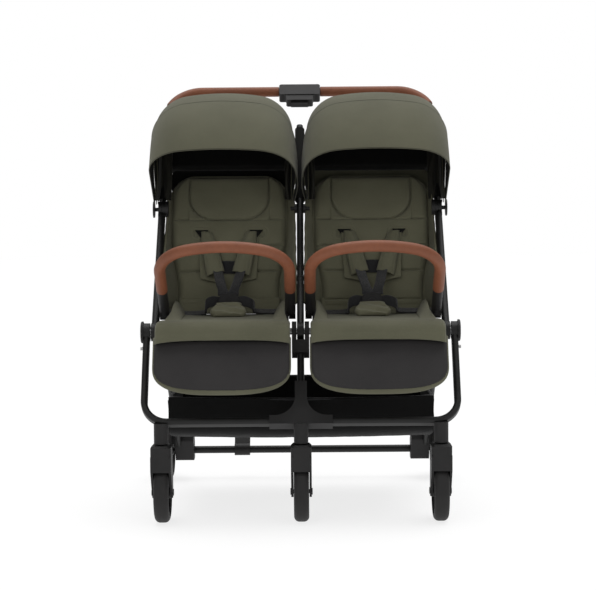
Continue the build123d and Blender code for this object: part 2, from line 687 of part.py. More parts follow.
def main():
    nodes = {}
    frame = front_frame()
    fairing = leg_fairing(frame)
    nodes["front_frame"] = frame
    nodes["centre_leg_fairing"] = fairing
    nodes["hinge_axle"] = x_rod(-front_outer_x, front_outer_x, hinge_y, hinge_z,
                                hinge_axle_radius)
    nodes["centre_hinge_bracket"] = centre_hinge_bracket(frame)
    nodes["hinge_covers"] = hinge_covers()
    nodes["accessory_studs"] = accessory_studs()
    nodes["caster_sockets"] = caster_sockets(frame, fairing)
    nodes["seat_side_plates"] = seat_side_plates()
    nodes["back_hinge_rods"] = hinge_rods(back_hinge_y, back_hinge_z)
    nodes["leg_rest_rods"] = hinge_rods(leg_pivot_y, leg_pivot_z)
    nodes["seat_boards"] = seat_boards()
    nodes["basket"] = basket(frame)

    buckles = {"left": buckle(-1), "right": buckle(1)}
    nodes["buckles"] = group(buckles.values())
    nodes["lap_harness"] = lap_harness(nodes["buckles"])

    nodes["push_tubes"] = push_tubes()
    nodes["centre_post"] = centre_post()
    nodes["canopy_brackets"] = canopy_brackets()
    handle = handle_tube()
    nodes["handle_tube"] = handle
    nodes["handle_grips"] = handle_grips()
    nodes["handle_block"] = handle_block(handle)
    nodes["fold_button"] = fold_button()

    legs, axle = rear_legs(), rear_axle()
    nodes["rear_legs"] = legs
    nodes["rear_axle"] = axle
    nodes["rear_housings"] = rear_housings(legs, axle)
    nodes["brake_pedal"] = brake_pedal()

    for name, side in (("left", -1), ("right", 1)):
        nodes[name + "_seat_cushion"] = seat_cushion(side)
        nodes[name + "_back_board"] = seat_back(side)
        nodes[name + "_back_pad"] = back_pad(side)
        nodes[name + "_shoulder_straps"] = shoulder_harness(side)
        grip, ends = bumper_bar(side)
        nodes[name + "_bumper_bar"] = grip
        nodes[name + "_bumper_ends"] = ends
        nodes[name + "_leg_rest"] = leg_rest(side)
        nodes[name + "_buckle_button"] = buckle_button(side)
        nodes[name + "_canopy_visor"] = canopy_shell(side, 0, visor_from, visor_to,
                                                     [visor_from, visor_to - 4])
        nodes[name + "_canopy_middle"] = canopy_shell(side, 1, middle_from, middle_to,
                                                      [middle_to - 4])
        nodes[name + "_canopy_rear"] = canopy_rear(side)
        x = side * rear_wheel_x
        nodes[name + "_rear_rim"] = wheel_rim(x, rear_axle_y, rear_axle_z, rear_wheel_radius,
                                              rear_tyre_width, rear_axle_radius)
        nodes[name + "_rear_tyre"] = wheel_tyre(x, rear_axle_y, rear_axle_z,
                                                rear_wheel_radius, rear_tyre_width)

    for name, x in (("left", -caster_x), ("centre", 0), ("right", caster_x)):
        wheel_y = caster_y + caster_trail
        nodes[name + "_front_fork"] = caster_fork(x)
        nodes[name + "_front_rim"] = wheel_rim(x, wheel_y, front_wheel_radius,
                                               front_wheel_radius, front_tyre_width, axle_radius)
        nodes[name + "_front_tyre"] = wheel_tyre(x, wheel_y, front_wheel_radius,
                                                 front_wheel_radius, front_tyre_width)

    os.makedirs("parts", exist_ok=True)
    for name, shape in nodes.items():
        export_step(shape, os.path.join("parts", name + ".step"))
    return nodes


main()
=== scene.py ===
import json
from math import acos, atan2, cos, exp, hypot, pi, radians, sin, sqrt

import bmesh
import bpy
from mathutils import Matrix, Vector, noise


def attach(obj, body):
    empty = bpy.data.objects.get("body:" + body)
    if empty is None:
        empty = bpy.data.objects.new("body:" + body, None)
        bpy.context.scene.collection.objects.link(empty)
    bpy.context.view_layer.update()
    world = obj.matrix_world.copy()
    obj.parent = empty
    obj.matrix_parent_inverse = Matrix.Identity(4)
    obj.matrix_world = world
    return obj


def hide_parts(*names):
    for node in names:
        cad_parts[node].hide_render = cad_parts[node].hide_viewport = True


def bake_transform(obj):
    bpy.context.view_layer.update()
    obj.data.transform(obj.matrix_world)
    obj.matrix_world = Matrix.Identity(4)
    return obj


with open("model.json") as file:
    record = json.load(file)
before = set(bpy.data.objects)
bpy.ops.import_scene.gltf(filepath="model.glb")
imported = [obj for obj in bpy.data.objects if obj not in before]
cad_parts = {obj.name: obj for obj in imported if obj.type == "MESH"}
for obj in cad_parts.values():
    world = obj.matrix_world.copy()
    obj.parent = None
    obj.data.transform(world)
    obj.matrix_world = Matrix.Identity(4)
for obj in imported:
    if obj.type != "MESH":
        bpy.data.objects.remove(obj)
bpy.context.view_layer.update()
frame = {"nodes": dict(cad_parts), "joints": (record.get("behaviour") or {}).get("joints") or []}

mm = 0.001        # the dictionaries below are in mm and degrees
joints = {j["name"]: j for j in frame["joints"]}
sides = {"left": -1, "right": 1}
edges = {"outer": 1, "inner": -1}


def pivotOf(joint):
    return Vector(joints[joint]["pos_m"])


mainHinge = pivotOf("frame_fold")
canopyPivot = pivotOf("handle_fold")
backPivot = pivotOf("left_recline")
barPivot = pivotOf("left_bumper_drop")
legPivot = pivotOf("left_leg_rest_tilt")
upAngle = atan2(canopyPivot.z - mainHinge.z, canopyPivot.y - mainHinge.y)


def leaning(pivot, angle, x, along, out):
    # a point in a frame that leans at an angle in the side view, sizes in mm
    y = pivot.y + mm * (along * cos(angle) - out * sin(angle))
    z = pivot.z + mm * (along * sin(angle) + out * cos(angle))
    return Vector((x * mm, y, z))


# a socket that takes part in sums, so that shader maths reads as plain expressions
class Val:
    def __init__(self, shader, socket):
        self.shader, self.socket = shader, socket

    def maths(self, how, other, swap=False):
        pair = (other, self) if swap else (self, other)
        return self.shader.node("ShaderNodeMath", {"operation": how}, {0: pair[0], 1: pair[1]})

    def __add__(self, other):
        return self.maths("ADD", other)

    def __sub__(self, other):
        return self.maths("SUBTRACT", other)

    def __rsub__(self, other):
        return self.maths("SUBTRACT", other, True)

    def __mul__(self, other):
        return self.maths("MULTIPLY", other)

    __radd__ = __add__
    __rmul__ = __mul__


class Shader:
    def __init__(self, name, **fixed):
        self.material = bpy.data.materials.new(name)
        self.material.use_nodes = True
        self.tree = self.material.node_tree
        self.surface = self.tree.nodes["Principled BSDF"]
        self.place = self.node("ShaderNodeTexCoord", {}, {}, "Object")
        for socket, value in fixed.items():
            self.surface.inputs[socket.replace("_", " ")].default_value = value

    def node(self, kind, settings, sockets, out=0):
        made = self.tree.nodes.new(kind)
        for key, value in settings.items():
            if key == "stops":
                ramp = made.color_ramp.elements
                for spot, (position, colour) in enumerate(value):
                    stop = ramp[spot] if spot < 2 else ramp.new(position)
                    stop.position, stop.color = position, (*colour, 1)
            else:
                setattr(made, key, value)
        for key, value in sockets.items():
            if isinstance(value, Val):
                self.tree.links.new(value.socket, made.inputs[key])
            else:
                made.inputs[key].default_value = value
        return Val(self, made.outputs[out])

    def feed(self, socket, value):
        self.tree.links.new(value.socket, self.surface.inputs[socket])

    def speckle(self, scale, detail=3, rough=0.55):
        return self.node("ShaderNodeTexNoise", {}, {"Vector": self.place, "Scale": scale,
                                                    "Detail": detail, "Roughness": rough})

    def ribs(self, direction, scale, bend=0.0):
        return self.node("ShaderNodeTexWave", {"bands_direction": direction},
                         {"Vector": self.place, "Scale": scale, "Distortion": bend}, "Fac")

    def tone(self, amount, dark, light, where=(0.3, 0.7)):
        stops = [(where[0], dark), (where[1], light)]
        return self.node("ShaderNodeValToRGB", {"stops": stops}, {"Fac": amount}, "Color")

    def bump(self, height, strength, depth):
        return self.node("ShaderNodeBump", {}, {"Height": height, "Strength": strength,
                                                "Distance": depth}, "Normal")


def clothLook(name, dark, light, weave=520, rough=0.86, sheen=0.1, relief=0.0004):
    # plain woven canvas: crossed threads, slubs and faint wash-out between them
    look = Shader(name, Sheen_Weight=sheen, Sheen_Roughness=0.5, Specular_IOR_Level=0.2)
    threads = look.ribs("X", weave) * look.ribs("Z", weave * 1.04) + look.ribs("Y", weave) * 0.5
    slub = look.speckle(260, 4)
    wash = look.speckle(7, 3)
    look.feed("Base Color", look.tone(wash * 0.62 + slub * 0.28 + threads * 0.1, dark, light))
    look.feed("Roughness", slub * 0.12 + (rough - 0.06))
    look.feed("Normal", look.bump(threads * 0.55 + slub, 0.5, relief))
    return look.material


def hideLook(name, dark, light, rough, relief=0.0005, coat=0.08):
    # coated leather: pebble grain with small creases
    look = Shader(name, Coat_Weight=coat, Coat_Roughness=0.35, Specular_IOR_Level=0.3)
    pebble = look.node("ShaderNodeTexVoronoi", {}, {"Vector": look.place, "Scale": 620.0}, "Distance")
    crease = look.speckle(90, 5)
    patch = look.speckle(14, 3)
    look.feed("Base Color", look.tone(patch * 0.6 + crease * 0.4, dark, light))
    polish = 1 - crease
    look.feed("Roughness", rough + 0.08 - polish * 0.16)
    look.feed("Normal", look.bump(pebble * 0.8 + crease * 0.6, 0.55, relief))
    return look.material


def paintLook(name, dark, light, rough, metal=0.0, grain=900, relief=0.00012):
    # powder coat, moulded plastic and bare metal share one fine grain
    look = Shader(name, Metallic=metal, Specular_IOR_Level=0.3)
    grit = look.speckle(grain, 2)
    wear = look.speckle(22, 4)
    look.feed("Base Color", look.tone(wear, dark, light))
    look.feed("Roughness", wear * 0.14 + grit * 0.06 + (rough - 0.1))
    look.feed("Normal", look.bump(grit, 0.35, relief))
    return look.material


def tapeLook(name, dark, light):
    # woven webbing with close ribs
    look = Shader(name, Sheen_Weight=0.2, Specular_IOR_Level=0.35)
    ribs = look.ribs("DIAGONAL", 420, 0.6)
    fuzz = look.speckle(400, 3)
    look.feed("Base Color", look.tone(fuzz * 0.5 + ribs * 0.5, dark, light))
    look.feed("Roughness", fuzz * 0.15 + 0.66)
    look.feed("Normal", look.bump(ribs + fuzz * 0.5, 0.6, 0.0004))
    return look.material


looks = {
    "canvas": clothLook("olive canvas", (0.08, 0.079, 0.051), (0.107, 0.105, 0.069)),
    "seatCloth": clothLook("olive seat cloth", (0.11, 0.108, 0.07), (0.147, 0.144, 0.094), 560),
    "bandCloth": clothLook("olive front band", (0.09, 0.089, 0.058), (0.119, 0.118, 0.077), 560),
    "shade": clothLook("dark olive gathers", (0.016, 0.0155, 0.011), (0.024, 0.023, 0.017), 520, 0.9),
    "lining": clothLook("black lining", (0.004, 0.004, 0.004), (0.007, 0.007, 0.006), 600, 0.9, 0.008),
    "bag": clothLook("black bag cloth", (0.0035, 0.0035, 0.0035), (0.006, 0.006, 0.006), 380, 0.85, 0.012),
    "tan": hideLook("tan leatherette", (0.16, 0.052, 0.024), (0.225, 0.078, 0.037), 0.56, 0.0004, 0.03),
    "charcoal": hideLook("charcoal leatherette", (0.017, 0.0155, 0.0158), (0.024, 0.022, 0.0222), 0.66,
                         0.0004, 0.02),
    "frameBlack": paintLook("satin black tube", (0.006, 0.006, 0.0058), (0.01, 0.01, 0.0095), 0.46),
    "plastic": paintLook("black plastic", (0.01, 0.0096, 0.0096), (0.016, 0.0152, 0.0152), 0.55, 0, 1400),
    "rubber": paintLook("black tyre foam", (0.012, 0.0115, 0.0113), (0.02, 0.019, 0.0187), 0.64, 0, 500,
                        0.0003),
    "steel": paintLook("plain steel", (0.3, 0.3, 0.3), (0.42, 0.42, 0.42), 0.34, 1.0, 700),
    "tape": tapeLook("black webbing", (0.006, 0.006, 0.007), (0.014, 0.014, 0.015)),
    "thread": clothLook("olive thread", (0.032, 0.031, 0.021), (0.046, 0.045, 0.03), 900),
}
print("materials made:", len(looks))


# meshes, sheets, cords and the curves that shape them
def newPiece(name, verts, faces, look, extraLooks=()):
    mesh = bpy.data.meshes.new(name)
    mesh.from_pydata([tuple(v) for v in verts], [], faces)
    mesh.validate()
    for key in (look, *extraLooks):
        mesh.materials.append(looks[key])
    mesh.polygons.foreach_set("use_smooth", [True] * len(mesh.polygons))
    piece = bpy.data.objects.new(name, mesh)
    bpy.context.scene.collection.objects.link(piece)
    return piece


def gridFaces(across, along, start=0, flip=False):
    faces = []
    for j in range(along):
        for i in range(across):
            a = start + j * (across + 1) + i
            quad = (a, a + 1, a + across + 2, a + across + 1)
            faces.append(quad[::-1] if flip else quad)
    return faces


def tidyMesh(piece):
    # weld the rim and turn every face outwards
    shape = bmesh.new()
    shape.from_mesh(piece.data)
    bmesh.ops.remove_doubles(shape, verts=shape.verts, dist=0.02 * mm)
    bmesh.ops.recalc_face_normals(shape, faces=shape.faces)
    shape.to_mesh(piece.data)
    shape.free()
    return piece


def padPiece(name, across, along, front, back, look, extraLooks=(), choose=None):
    # closed soft form from two facing grids that meet along their edge
    spots = [(i / across, j / along) for j in range(along + 1) for i in range(across + 1)]
    verts = [front(s, t) for s, t in spots] + [back(s, t) for s, t in spots]
    faces = gridFaces(across, along) + gridFaces(across, along, len(spots), True)
    piece = newPiece(name, verts, faces, look, extraLooks)
    if choose:
        for polygon in piece.data.polygons[:across * along]:
            i, j = polygon.index % across, polygon.index // across
            polygon.material_index = choose((i + 0.5) / across, (j + 0.5) / along)
    return tidyMesh(piece)


def sheetPiece(name, across, along, place, thick, look, under=None, flip=False):
    # a thin sheet with real thickness; its underside may have its own cloth
    verts = [place(i / across, j / along) for j in range(along + 1) for i in range(across + 1)]
    piece = newPiece(name, verts, gridFaces(across, along, 0, flip), look, (under,) if under else ())
    shell = piece.modifiers.new("thickness", "SOLIDIFY")
    shell.thickness, shell.offset = thick * mm, -1
    if under:
        shell.material_offset = 1
    return settle(piece)


def settle(piece):
    # turn curves and modifiers into the piece's own mesh
    bpy.context.view_layer.update()
    solved = piece.evaluated_get(bpy.context.evaluated_depsgraph_get())
    mesh = bpy.data.meshes.new_from_object(solved)
    mesh.polygons.foreach_set("use_smooth", [True] * len(mesh.polygons))
    made = bpy.data.objects.new(piece.name, mesh)
    name = piece.name
    bpy.context.scene.collection.objects.link(made)
    bpy.data.objects.remove(piece)
    made.name = name
    return made


def cordPiece(name, points, radius, look, squeeze=1.0, loop=False):
    # a smooth tube, welt or strap through a few points
    curve = bpy.data.curves.new(name, "CURVE")
    curve.dimensions = "3D"
    curve.bevel_depth, curve.bevel_resolution = radius * mm, 5
    curve.use_fill_caps = True
    line = curve.splines.new("NURBS")
    line.points.add(len(points) - 1)
    for spot, point in zip(line.points, points):
        spot.co = (*point, 1)
    line.order_u = 3
    line.use_endpoint_u, line.use_cyclic_u = not loop, loop
    line.resolution_u = 6
    curve.materials.append(looks[look])
    piece = bpy.data.objects.new(name, curve)
    bpy.context.scene.collection.objects.link(piece)
    return settle(piece)


def soft(value):
    value = min(max(value, 0.0), 1.0)
    return value * value * (3 - 2 * value)


def roundOff(distance, radius):
    # height share of a rounded edge, 0 on the edge and 1 past the radius
    near = min(max(distance / radius, 0.0), 1.0)
    return sqrt(1 - (1 - near) ** 2)


def groove(distance, depth, width):
    return -depth * exp(-(distance / width) ** 2)


def ripple(point, size, seed=0.0):
    return noise.noise(Vector((point[0] / size, point[1] / size, point[2] / size + seed)))


def glide(points, share):
    # smooth path through a few points, share from 0 to 1
    spot = min(share, 0.99999) * (len(points) - 1)
    k, f = int(spot), spot - int(spot)
    p = [Vector(points[min(max(k + step, 0), len(points) - 1)]) for step in (-1, 0, 1, 2)]
    return 0.5 * (2 * p[1] + (p[2] - p[0]) * f + (2 * p[0] - 5 * p[1] + 4 * p[2] - p[3]) * f * f
                  + (3 * p[1] - p[0] - 3 * p[2] + p[3]) * f ** 3)


# hard parts that stay as they are, and what each is made of
cadLooks = {
    "frameBlack": ["front_frame", "push_tubes", "centre_post", "handle_tube", "rear_legs",
                   "rear_axle"],
    "plastic": ["centre_leg_fairing", "centre_hinge_bracket", "hinge_covers", "caster_sockets",
                "seat_side_plates", "canopy_brackets", "handle_block", "fold_button",
                "rear_housings", "brake_pedal", "buckles", "seat_boards"],
    "steel": ["hinge_axle", "accessory_studs", "back_hinge_rods", "leg_rest_rods"],
    "tan": ["handle_grips"],
    "rubber": [],
}
for side in sides:
    cadLooks["tan"].append(side + "_bumper_bar")
    cadLooks["plastic"] += [side + "_bumper_ends", side + "_buckle_button", side + "_rear_rim"]
    cadLooks["rubber"].append(side + "_rear_tyre")
for place in ("left", "centre", "right"):
    cadLooks["plastic"] += [place + "_front_fork", place + "_front_rim"]
    cadLooks["rubber"].append(place + "_front_tyre")
for look, names in cadLooks.items():
    for name in names:
        node = frame["nodes"][name]
        node.data.materials.clear()
        node.data.materials.append(looks[look])
print("hard parts dressed")


# canopies, where each panel lies a step inside the one in front of it
canopy = {
    "x": 193, "half": 178.5, "reach": 298, "corner": 100, "crown": 600, "hub": 15, "step": 3.5,
    "visor": (30, 65.5, 0), "middle": (58, 97, 1), "rear": (87, 126, 2),
    "cloth": 1.4, "welt": 1.3, "weltIn": 0.7, "weltTurn": 0.3,
    "rough": 0.9, "pull": 0.4, "puff": 1, "puffFrom": 67, "puffOver": 18,
    "bulge": 10, "bulgeFrom": 23, "bulgeSpan": 205, "bulgePast": 150, "flatFrom": 90, "flatOver": 30,
}


def archCentres():
    # half width of the corner centres, then the heights of the crown and corner centres
    cornerX = canopy["half"] - canopy["corner"]
    crownY = canopy["reach"] - canopy["crown"]
    cornerY = crownY + sqrt((canopy["crown"] - canopy["corner"]) ** 2 - cornerX ** 2)
    return cornerX, crownY, cornerY


def archSpot(share, inset):
    # point (x, r) along the arch outline: side, corner, crown, corner, side
    cornerX, crownY, cornerY = archCentres()
    corner = canopy["corner"] - inset
    crown = canopy["crown"] - inset
    lean = acos(cornerX / (canopy["crown"] - canopy["corner"]))
    straight = cornerY - canopy["hub"]
    bend = corner * lean
    run = min(share, 1 - share) * (2 * (straight + bend) + crown * (pi - 2 * lean))
    if run < straight:
        x, r = canopy["half"] - inset, canopy["hub"] + run
    elif run < straight + bend:
        turn = (run - straight) / corner
        x, r = cornerX + corner * cos(turn), cornerY + corner * sin(turn)
    else:
        turn = lean + (run - straight - bend) / crown
        x, r = crown * cos(turn), crownY + crown * sin(turn)
    return (-x if share > 0.5 else x), r


def archHeight(x, inset):
    cornerX, crownY, cornerY = archCentres()
    corner, crown = canopy["corner"], canopy["crown"]
    if abs(x) < cornerX * crown / (crown - corner):
        return crownY + sqrt((crown - inset) ** 2 - x * x)
    return cornerY + sqrt(max((corner - inset) ** 2 - (abs(x) - cornerX) ** 2, 0))


def canopySpot(side, share, angle, inset):
    # the inner flank swells a little towards the post, more so near the front bow
    c = canopy
    x, r = archSpot(share, inset)
    lobe = min(max((r - c["bulgeFrom"]) / c["bulgeSpan"], 0), 1)
    if x * sides[side] < 0 and abs(x) > c["bulgePast"]:
        swell = c["bulge"] * sin(pi * lobe) ** 1.5 * soft((c["flatFrom"] - angle) / c["flatOver"])
        x += swell if x > 0 else -swell
    turn = radians(180 - angle)
    return Vector(((sides[side] * c["x"] + x) * mm, canopyPivot.y + mm * r * cos(turn),
                   canopyPivot.z + mm * r * sin(turn)))


def canopyPanel(side, part, body, node):
    c = canopy
    fromAngle, toAngle, level = c[part]
    base = level * c["step"]

    def place(s, t):
        angle = fromAngle + (toAngle - fromAngle) * t
        here = canopySpot(side, s, angle, 0)
        rough = 0.5 + 0.5 * ripple(here, 0.11, level + sides[side])
        pull = 0.5 + 0.5 * ripple((here.x, here.y * 0.3, here.z * 0.3), 0.05, 4)
        calm = sin(pi * t) * sin(pi * s)
        puff = c["puff"] * soft((angle - c["puffFrom"]) / c["puffOver"]) * sin(pi * s) ** 0.5
        return canopySpot(side, s, angle, base + (c["rough"] * rough + c["pull"] * pull) * calm - puff)

    piece = sheetPiece(side + "-canopy-" + part, 220, 44, place, c["cloth"], "canvas", "lining", True)
    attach(piece, body)
    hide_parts(node)
    rims = (fromAngle, toAngle) if part == "visor" else (toAngle,)
    for k, angle in enumerate(rims):
        near = angle + (c["weltTurn"] if angle == fromAngle else -c["weltTurn"])
        route = [canopySpot(side, 0.015 + 0.97 * n / 70, near, base + c["weltIn"]) for n in range(71)]
        edge = cordPiece(f"{side}-canopy-{part}-edge{k}", route, c["welt"], "thread")
        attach(edge, body)


curtain = {
    "half": 166, "low": 134, "foot": (168, 832), "knee": (153, 846), "tuck": 0.09, "tuckPast": 149,
    "fold": 1.2, "foldEvery": 13, "cloth": 1.2,
}


def rearCurtain(side):
    # closing cloth under the rear bow
    c = curtain
    base = 2 * canopy["step"] + 2
    turn = radians(180 - canopy["rear"][1] + 1)

    def place(s, t):
        x = (2 * s - 1) * c["half"]
        across = (sides[side] * canopy["x"] + x) * mm
        if t < c["tuck"] and x * sides[side] < c["tuckPast"]:
            y, z = (c["foot"][k] + (c["knee"][k] - c["foot"][k]) * t / c["tuck"] for k in (0, 1))
            return Vector((across, y * mm, z * mm))
        rise = max(t - c["tuck"], 0) / (1 - c["tuck"])
        r = c["low"] + (archHeight(x, base) - c["low"]) * rise
        fold = c["fold"] * sin(x / c["foldEvery"]) * (1 - t)
        y = canopyPivot.y + mm * (r * cos(turn) + fold * sin(turn))
        z = canopyPivot.z + mm * (r * sin(turn) - fold * cos(turn))
        return Vector((across, y, z))

    piece = sheetPiece(side + "-canopy-curtain", 80, 33, place, c["cloth"], "canvas", "lining", True)
    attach(piece, "push_frame")


gather = {
    "outer": (330, 370), "inner": (38, 15.5), "low": 762, "tall": 140, "foot": 78, "lean": 70,
    "slant": 10, "fold": 4.5, "tuck": 50, "tuckFrom": 0.7, "cloth": 1.2,
}


def sideGathers(side):
    # gathered cloth down both sides of a canopy
    c = gather
    for name in edges:
        fromX, toX = c[name]

        def place(s, t):
            fold = c["fold"] * sin(11 * s + 1.5 * sin(5 * t)) * (1 - 0.5 * t)
            tuck = c["tuck"] * soft((s - c["tuckFrom"]) / (1 - c["tuckFrom"]))
            x = fromX + (toX - fromX) * s
            y = c["foot"] + c["lean"] * t + fold + c["slant"] * s - tuck
            return Vector((sides[side] * x * mm, y * mm, (c["low"] + c["tall"] * t) * mm))

        sideCloth = sheetPiece(f"{side}-canopy-gather-{name}", 40, 30, place, c["cloth"], "shade")
        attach(sideCloth, "push_frame")


for side in sides:
    canopyPanel(side, "visor", side + "_visor", side + "_canopy_visor")
    canopyPanel(side, "middle", side + "_canopy_middle", side + "_canopy_middle")
    canopyPanel(side, "rear", "push_frame", side + "_canopy_rear")
    rearCurtain(side)
    sideGathers(side)
print("canopies sewn")


# seat backs, in mm up the leaning back and out from it
seatBack = {
    "angle": 65, "mid": 182, "half": 149, "low": 42, "top": 415, "cornerTop": 62, "cornerLow": 10,
    "front": 24, "behind": 8, "edge": 20, "seams": (68, 147, 217, 290), "seamDepth": 7,
    "seamWidth": 2.1, "puff": 3.4, "pillowHalf": 103, "pillowLow": 289, "pillowRound": 66,
    "slotAlong": 250, "slotAside": 70, "slotHalf": 19, "waist": 19, "pillow": 5.5, "crinkle": 1.6,
    "slotDepth": 5, "ring": 13, "ringDepth": 1.2, "ringWidth": 1.6, "welt": 2.4, "weltFrom": 26,
    "weltOut": 9,
}


def backSpot(side, x, along, out):
    return leaning(backPivot, radians(seatBack["angle"]), sides[side] * x, along, out)


def backOutline(along):
    # half width at a height, with rounded corners at both ends
    b = seatBack
    half = b["half"] - b["waist"] * soft((235 - along) / 140)
    for corner, end in ((b["cornerTop"], b["top"] - along), (b["cornerLow"], along - b["low"])):
        if end < corner:
            half -= corner - sqrt(max(corner ** 2 - (corner - end) ** 2, 0))
    return half


def pillowEdge(x, along):
    # distance to the U-shaped seam of the head pillow
    b = seatBack
    r = b["pillowRound"]
    insideX, insideY = b["pillowHalf"] - r, b["pillowLow"] + r
    if along > insideY:
        return abs(abs(x) - b["pillowHalf"])
    if abs(x) > insideX:
        return abs(hypot(abs(x) - insideX, insideY - along) - r)
    return abs(along - b["pillowLow"])


def backRelief(x, along):
    b = seatBack
    height = 0.0
    inPillow = abs(x) < b["pillowHalf"] and along > b["pillowLow"]
    levels = [b["low"], *b["seams"], b["top"] + 30]
    for low, high in zip(levels, levels[1:]):
        if low <= along < high and not inPillow:
            height += b["puff"] * sin(pi * (along - low) / (high - low)) ** 0.6
    if inPillow:
        height += b["pillow"] * roundOff(pillowEdge(x, along), 34)
    for seam in b["seams"]:
        if not (inPillow and seam > b["pillowLow"]):
            height += groove(along - seam, b["seamDepth"], b["seamWidth"])
    height += groove(pillowEdge(x, along), b["seamDepth"] - 1, b["seamWidth"])
    for edge in (-1, 1):
        aside = max(abs(x - edge * b["slotAside"]) - b["slotHalf"] + 4, 0)
        away = hypot(aside, max(abs(along - b["slotAlong"]) - 5, 0))
        height += groove(away, b["slotDepth"], b["slotDepth"])
        height += groove(away - b["ring"], b["ringDepth"], b["ringWidth"])
    return height


def seatBackPad(side):
    b = seatBack

    def spot(s, t, facing):
        along = b["low"] + (b["top"] - b["low"]) * t
        half = backOutline(along)
        x = (2 * s - 1) * half
        edge = min(half - abs(x), along - b["low"], b["top"] - along)
        share = roundOff(edge, b["edge"])
        if facing > 0:
            out = b["front"] * share + (backRelief(x, along) - 3) * soft(edge / 26)
            out += b["crinkle"] * ripple((x, along, 0), 55, 3 + sides[side]) * soft(edge / 30)
        else:
            out = -b["behind"] * share
        return backSpot(side, b["mid"] + x, along, out)

    pad = padPiece(side + "-seat-back", 190, 230, lambda s, t: spot(s, t, 1),
                   lambda s, t: spot(s, t, -1), "seatCloth")
    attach(pad, side + "_seat_back")
    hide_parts(side + "_back_pad", side + "_back_board")
    rise = b["top"] - b["low"] - b["weltFrom"] - 0.5
    steps = [b["low"] + b["weltFrom"] + rise * sin(pi / 2 * n / 40) for n in range(41)]
    route = [backSpot(side, b["mid"] - backOutline(a) + 1, a, b["weltOut"]) for a in steps]
    route += [backSpot(side, b["mid"] + backOutline(a) - 1, a, b["weltOut"]) for a in steps[::-1]]
    welt = cordPiece(side + "-seat-back-welt", route, b["welt"], "seatCloth")
    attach(welt, side + "_seat_back")


flap = {
    "mid": 181, "half": 158, "taper": 16, "round": 14, "roundFrom": 0.75, "low": 300, "tall": 141,
    "behind": 10.5, "wave": 1.2, "waveEvery": 17, "cloth": 1.2,
}


def backFlap(side):
    # cloth that carries on from the back up into the canopy
    c = flap

    def place(s, t):
        rounded = 1 - sqrt(1 - max((t - c["roundFrom"]) / (1 - c["roundFrom"]), 0) ** 2)
        x = (2 * s - 1) * (c["half"] - c["taper"] * (1 - t) - c["round"] * rounded)
        wave = c["wave"] * sin(x / c["waveEvery"]) * (1 - t)
        return backSpot(side, c["mid"] + x, c["low"] + c["tall"] * t, -c["behind"] - wave)

    hood = sheetPiece(side + "-seat-back-flap", 60, 40, place, c["cloth"], "canvas", "lining")
    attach(hood, side + "_seat_back")


slit = {"half": 17, "narrow": 12, "lean": 3, "above": 9, "tall": 21, "sunk": 0.5, "cloth": 1}


def strapSlots(side):
    # painted shade: black sheets sit in the openings where the shoulder straps pass through the back and
    # stand for the shade inside them
    b = seatBack
    for name, edge in (("inner", -1), ("outer", 1)):
        def place(s, t):
            half = slit["half"] - slit["narrow"] * t
            x = edge * (b["slotAside"] - slit["lean"] * t) + (2 * s - 1) * half
            along = b["slotAlong"] + slit["above"] - slit["tall"] * t
            return backSpot(side, b["mid"] + x, along, b["front"] - slit["sunk"])

        dark = sheetPiece(f"{side}-strap-slot-shade-{name}", 8, 8, place, slit["cloth"], "lining")
        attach(dark, side + "_seat_back")


wing = {
    "low": 28, "high": 372, "deepTop": 20, "deepLow": 96, "outer": 160, "inner": 171, "tuck": 5,
    "lift": 6, "crinkle": 2.2, "cloth": 4, "hem": 3,
}


def sideWings(side):
    # soft side panels that flare out from the edges of the seat back
    w = wing
    for name, edge in edges.items():
        def place(s, t):
            along = w["low"] + (w["high"] - w["low"]) * t
            foot = backOutline(along) - w["tuck"]
            deep = w["deepTop"] + (w["deepLow"] - w["deepTop"]) * (1 - soft((t - 0.15) / 0.75))
            flare = s ** 0.8 * (w[name] - foot) * (1 - 0.2 * soft(t))
            crinkle = w["crinkle"] * ripple((s * 90, along, 0), 24, 5 + edge) * s * (1 - 0.6 * t)
            x = seatBack["mid"] + edge * (foot + flare + crinkle)
            return backSpot(side, x, along, w["lift"] + deep * s ** 1.2)

        panel = sheetPiece(f"{side}-side-wing-{name}", 36, 80, place, w["cloth"], "seatCloth", None,
                           edge * sides[side] < 0)
        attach(panel, side + "_seat_back")
        route = [place(1, n / 30) for n in range(31)]
        hem = cordPiece(f"{side}-side-wing-{name}-hem", route, w["hem"], "seatCloth")
        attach(hem, side + "_seat_back")


crease = {"mid": 179, "half": 127, "foot": (-62, 479), "knee": (-44, 484), "along": 74, "out": 17,
          "cloth": 4}


def seatCrease(side):
    # cloth that joins the back to the seat
    c = crease
    path = [Vector((0, y * mm, z * mm)) for y, z in (c["foot"], c["knee"])]
    path.append(backSpot(side, 0, c["along"], c["out"]))

    def place(s, t):
        spot = glide(path, t)
        x = c["mid"] + (2 * s - 1) * c["half"]
        return Vector((sides[side] * x * mm, spot.y, spot.z))

    fold = sheetPiece(side + "-seat-crease", 40, 16, place, c["cloth"], "seatCloth")
    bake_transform(fold)


seatRoll = {
    "mid": 177, "from": 112, "wide": 28, "widen": 6, "base": 479, "crest": 0.7, "tuck": 1.68,
    "path": ((-44, 512), (-100, 508), (-160, 498), (-230, 489), (-300, 480)), "crinkle": 1.2, "cloth": 3,
}


